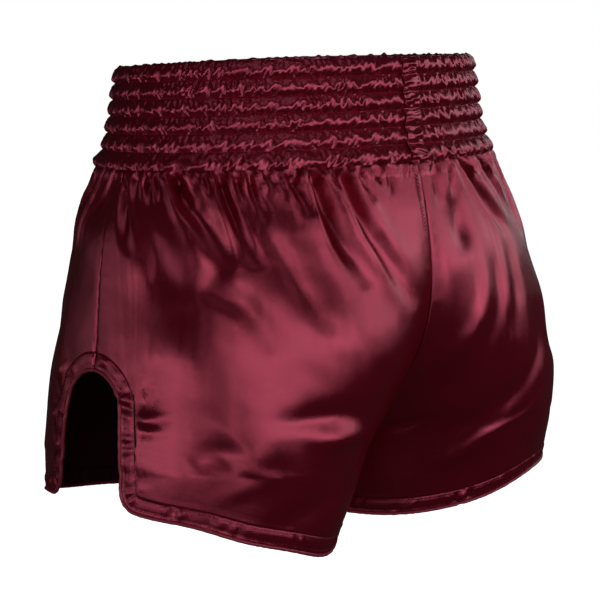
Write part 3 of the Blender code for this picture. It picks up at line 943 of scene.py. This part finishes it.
def band_face(angle, inner):
    """Points of the band's outer or inner face over the angles, from its top to its bottom."""
    s = AROUND * (angle + math.pi)
    near_join = 0 * angle if inner else np.exp(-(((angle - math.pi / 2) * 0.16 / 0.010) ** 4))
    rows = [ruched_row(s, row, 300 if inner else 200, near_join) for row in range(BAND_ROWS)]
    z = np.concatenate([levels[:-1] for levels, _ in rows] + [rows[-1][0][-1:]])
    out = np.concatenate([heights[:-1] for _, heights in rows] + [rows[-1][1][-1:]])
    angles = angle[None, :] + 0 * z
    inset = band_inset(z)
    if inner:
        inset, out = inset + PUFF, -INNER_PUFF * out
    return ring(angles, z, inset) + ring_normals(angles, z) * out[..., None]


band_stitches = []
for back in (True, False):
    angle = np.linspace(0, math.pi, HALF_STEPS + 1) * (1 if back else -1)
    outer = band_face(angle, False)
    inner = band_face(angle, True)
    crest = 0.5 * (outer[0] + inner[0])
    uneven = wavelets(AROUND * (angle + math.pi), 0, 77, 0.9, 200, (0.006, 0.02), 0, (0.01, 0.03))
    crest[:, 2] += 0.0002 + 0.0003 * uneven
    shoulders = [0.5 * (face[0] + crest) + (crest - face[0]) * [0, 0, 0.2] for face in (inner, outer)]
    fold = np.stack([shoulders[0], crest, shoulders[1]])
    grid = np.concatenate([inner[::-1], fold, outer])
    word = "back" if back else "front"
    s = np.broadcast_to(AROUND * angle[None, :], grid.shape[:2])
    uv = np.stack([s * 1.4, -lengths(grid, 0)], axis=-1)
    band = cloth_object(f"waistband_{word}", grid, (SATIN,), not back, 0, uv=uv)
    lines = [line * BAND_STEPS for line in range(1, BAND_ROWS)]
    sewn_outside = [len(inner) + len(fold) + line for line in lines]
    sewn_inside = [len(inner) - 1 - line for line in lines]
    sharpen(band, sewn_outside + sewn_inside, grid.shape[1])
    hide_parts(f"{word}_waistband_casing")
    crosses(band)
    band_normals = ring_normals(angle, 0 * angle)
    for line in lines:
        path = outer[line]
        # At the back the lines stop at the join strip
        halves = (path[:, 0] > STRIP_HALF, path[:, 0] < -STRIP_HALF) if back else (slice(None),)
        for half in halves:
            band_stitches.append(stitch_row(path[half], band_normals[half], *BAND_STITCH))
threads = merged_rows("waistband_stitches", band_stitches, THREAD)
crosses(threads)

# The strip over the band's join at the centre back
STRIP_ROWS, STRIP_COLUMNS = 100, 23
rows = np.linspace(-0.0005, BAND_BOTTOM - 0.001, STRIP_ROWS)
reach = np.linspace(STRIP_HALF, -STRIP_HALF, STRIP_COLUMNS)
z, x = np.meshgrid(rows, reach, indexing="ij")
pleat = wavelets(-z, x, 501, 0.075, 70, (0.0035, 0.008), 0.5, (0.004, 0.012))
lift = 0.0017 + 0.0024 * np.abs(np.sin(math.pi * z / PITCH)) + 0.00022 * pleat
lift -= 0.0007 * hill(np.abs(x), STRIP_HALF, 0.0012)
angle = math.pi / 2 - x / through(HALF_WIDTH, z)
strip_points = ring(angle, z, band_inset(z)) + ring_normals(angle, z) * lift[..., None]
strip = cloth_object("join_strip", strip_points, (SATIN,), False, 0.0007)
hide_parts("back_join_strip")
edge_rows = []
for column in (2, -3):
    out = ring_normals(angle[:, column], z[:, column])
    edge_rows.append(stitch_row(strip_points[:, column], out, *STRIP_STITCH))
strip_stitches = merged_rows("join_strip_stitches", edge_rows, THREAD)
crosses(strip)
crosses(strip_stitches)

# The elastics in the band's channels
ELASTIC_HALF = 0.0048
ELASTIC_THICKNESS = 0.0009
ELASTIC_TOP = -0.0018
ELASTIC_ROWS, ELASTIC_COLUMNS = 9, 360
for row in range(BAND_ROWS):
    middle = -(row + 0.5) * PITCH
    a = np.linspace(0, 2 * math.pi, ELASTIC_COLUMNS + 1)
    t = np.linspace(-ELASTIC_HALF, ELASTIC_HALF, ELASTIC_ROWS)
    z, around = np.meshgrid(middle - t, a, indexing="ij")
    z = np.minimum(z, ELASTIC_TOP)
    rib = 0.00012 * np.sin(math.pi * (z - middle) / 0.0012)
    points = ring(around, z, band_inset(z) + 0.0012 - rib)
    elastic = cloth_object(f"elastic_{row + 1}", points[:, :-1], (KNIT,), False, 0)
    close_ring(elastic, ELASTIC_ROWS, ELASTIC_COLUMNS)
    solid = elastic.modifiers.new("thickness", "SOLIDIFY")
    solid.thickness = ELASTIC_THICKNESS
    solid.offset = -1
    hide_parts(f"waist_elastic_{row + 1}")
    crosses(elastic)

# ---------------------------------------------------------------- seams and label

TAPE_DEPTH = 0.0016
TO_VENT = slice(1, PANEL_END - 3)
TO_CROTCH = slice(1, CROTCH_ROW * FINER - 12)
TO_HEM = slice(CROTCH_ROW * FINER + 12, PANEL_END)

# The four columns next to the side seam, and next to the middle seam or inseam
FROM_SIDE, TO_SIDE = slice(0, 4), slice(3, None, -1)
TO_MIDDLE, FROM_MIDDLE = slice(-4, None), slice(-1, -5, -1)


def seam_strip(name, node, first, second, flip):
    """A seam allowance inside a seam: the columns of two grids nearest to it, moved inside the cloth."""
    (grid_a, normals_a), (grid_b, normals_b) = first, second
    grid = np.concatenate([grid_a, grid_b[:, 1:]], axis=1)
    normals = np.concatenate([normals_a, normals_b[:, 1:]], axis=1)
    middle = grid_a.shape[1] - 1
    normals[:, middle] = 0.5 * (normals_a[:, -1] + normals_b[:, 0])
    made = cloth_object(name, grid - normals * TAPE_DEPTH, (TAPE,), flip, 0.0006)
    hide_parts(node)
    crosses(made)


def part(side, back, rows, columns):
    """(points, normals) of some rows and columns of a quarter."""
    grid, normals, _ = QUARTER[side, back]
    return grid[rows][:, columns], normals[rows][:, columns]


for side, name in ((1, "left"), (-1, "right")):
    halves = part(side, False, TO_VENT, TO_SIDE), part(side, True, TO_VENT, FROM_SIDE)
    seam_strip(f"side_seam_{name}", f"{name}_side_seam_tape", *halves, side < 0)
    halves = part(side, True, TO_HEM, TO_MIDDLE), part(side, False, TO_HEM, FROM_MIDDLE)
    seam_strip(f"inseam_{name}", f"{name}_inseam_tape", *halves, side < 0)
for word, back in (("back", True), ("front", False)):
    first = 1 if back else -1
    halves = part(first, back, TO_CROTCH, TO_MIDDLE), part(-first, back, TO_CROTCH, FROM_MIDDLE)
    seam_strip(f"centre_{word}_seam", f"centre_{word}_seam_tape", *halves, False)

# Overlocking that shows below the join strip
OVERLOCK_LENGTH = 0.048
OVERLOCK_PITCH = 0.0026
OVERLOCK_POINTS = 400
grid, normals, _ = QUARTER[1, True]
overlocked = slice(2, 17 * FINER)
path, out = grid[overlocked, -1], normals[overlocked, -1]
down = np.concatenate([[0], np.cumsum(np.linalg.norm(np.diff(path, axis=0), axis=1))])
at = np.linspace(0, min(down[-1], OVERLOCK_LENGTH), OVERLOCK_POINTS)
path = np.stack([np.interp(at, down, path[:, k]) for k in range(3)], axis=1)
out = np.stack([np.interp(at, down, out[:, k]) for k in range(3)], axis=1)
swing = 0.0038 + 0.0028 * np.abs(np.sin(math.pi * at / OVERLOCK_PITCH))
loops = path + np.stack([swing, 0 * at, 0 * at], axis=1) + out * 0.0008
overlock = swept_tube("overlock_back", loops, out, 0.00028, THREAD, sides=6)
crosses(overlock)

# A blank care label inside the centre back
low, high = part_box("care_label")
t = np.linspace(0, 1, 20)[:, None]
x = np.linspace(high[0], low[0], 16)[None, :]
lean, ripple = 0.006 * t**2, 0.0012 * np.sin(x * 260) * t
y = low[1] + 0.0004 - lean + ripple
z = high[2] + (low[2] - high[2]) * t
label_points = np.stack([x + 0 * t, y, z + 0 * x], axis=-1)
label = cloth_object("label", label_points, (LABEL,), False, 0.0005)
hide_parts("care_label")
crosses(label)

# ---------------------------------------------------------------- light and floor


def softbox(name, azimuth, elevation, width, height, radiance, distance=1.7):
    """A rectangular light that faces the shorts, at these angles in degrees from the camera's direction."""
    a, e = math.radians(azimuth), math.radians(elevation)
    level = Vector((math.sin(AZIMUTH), -math.cos(AZIMUTH), 0))
    away = (level * math.cos(a) + RIGHT * math.sin(a)) * math.cos(e) + Vector((0, 0, 1)) * math.sin(e)
    data = bpy.data.lights.new(name, "AREA")
    data.energy = radiance * math.pi * width * height
    data.shape = "RECTANGLE"
    data.size, data.size_y = width, height
    made = bpy.data.objects.new(name, data)
    bpy.context.scene.collection.objects.link(made)
    made.location = TARGET + away * distance
    made.rotation_euler = (TARGET - made.location).to_track_quat("-Z", "Y").to_euler()
    made.visible_camera = False


softbox("key_low_left", -44, -5, 1.15, 0.44, 1.85)
softbox("key_left", 12, 7, 0.85, 0.64, 2.2, 1.75)
softbox("key_middle", 46, 7, 1.15, 0.66, 2.2)
softbox("key_right", 84, 14, 1.15, 0.56, 1.75)
softbox("key_far", 122, 16, 1.0, 0.56, 1.5)
softbox("fill_left", -82, 2, 1.6, 0.75, 0.36)
softbox("fill_low", -8, -13, 1.3, 0.34, 0.8)
softbox("front", 165, 9, 1.0, 0.6, 0.8)
softbox("top", 15, 64, 1.1, 0.5, 0.75)

# The camera sees a white studio, and the satin reflects a dark one with the softboxes in it
world = bpy.data.worlds.new("studio")
bpy.context.scene.world = world
world.use_nodes = True
sky = world.node_tree
rays = sky.nodes.new("ShaderNodeLightPath")
blend = sky.nodes.new("ShaderNodeMix")
blend.data_type = "RGBA"
blend.inputs[COLOUR_A].default_value = (0.02, 0.02, 0.02, 1)
blend.inputs[COLOUR_B].default_value = (1, 1, 1, 1)
sky.links.new(rays.outputs["Is Camera Ray"], blend.inputs["Factor"])
sky.links.new(blend.outputs[COLOUR_RESULT], sky.nodes["Background"].inputs["Color"])

FLOOR_DROP, FLOOR_HALF = 0.45, 9
floor_level = CAD_BOX[0][2] - FLOOR_DROP
signs = ((-1, -1), (1, -1), (1, 1), (-1, 1))
corners = [(x * FLOOR_HALF, y * FLOOR_HALF, floor_level) for x, y in signs]
floor = mesh_object("floor", corners, [(0, 1, 2, 3)])
floor_paint = bpy.data.materials.new("floor")
floor_paint.use_nodes = True
paint = floor_paint.node_tree.nodes["Principled BSDF"]
paint.inputs["Base Color"].default_value = (0.9, 0.9, 0.9, 1)
paint.inputs["Emission Color"].default_value = (1, 1, 1, 1)
paint.inputs["Emission Strength"].default_value = 1.1
floor.data.materials.append(floor_paint)
floor.visible_diffuse = False
floor.visible_glossy = False
bpy.context.scene.view_settings.view_transform = "Standard"
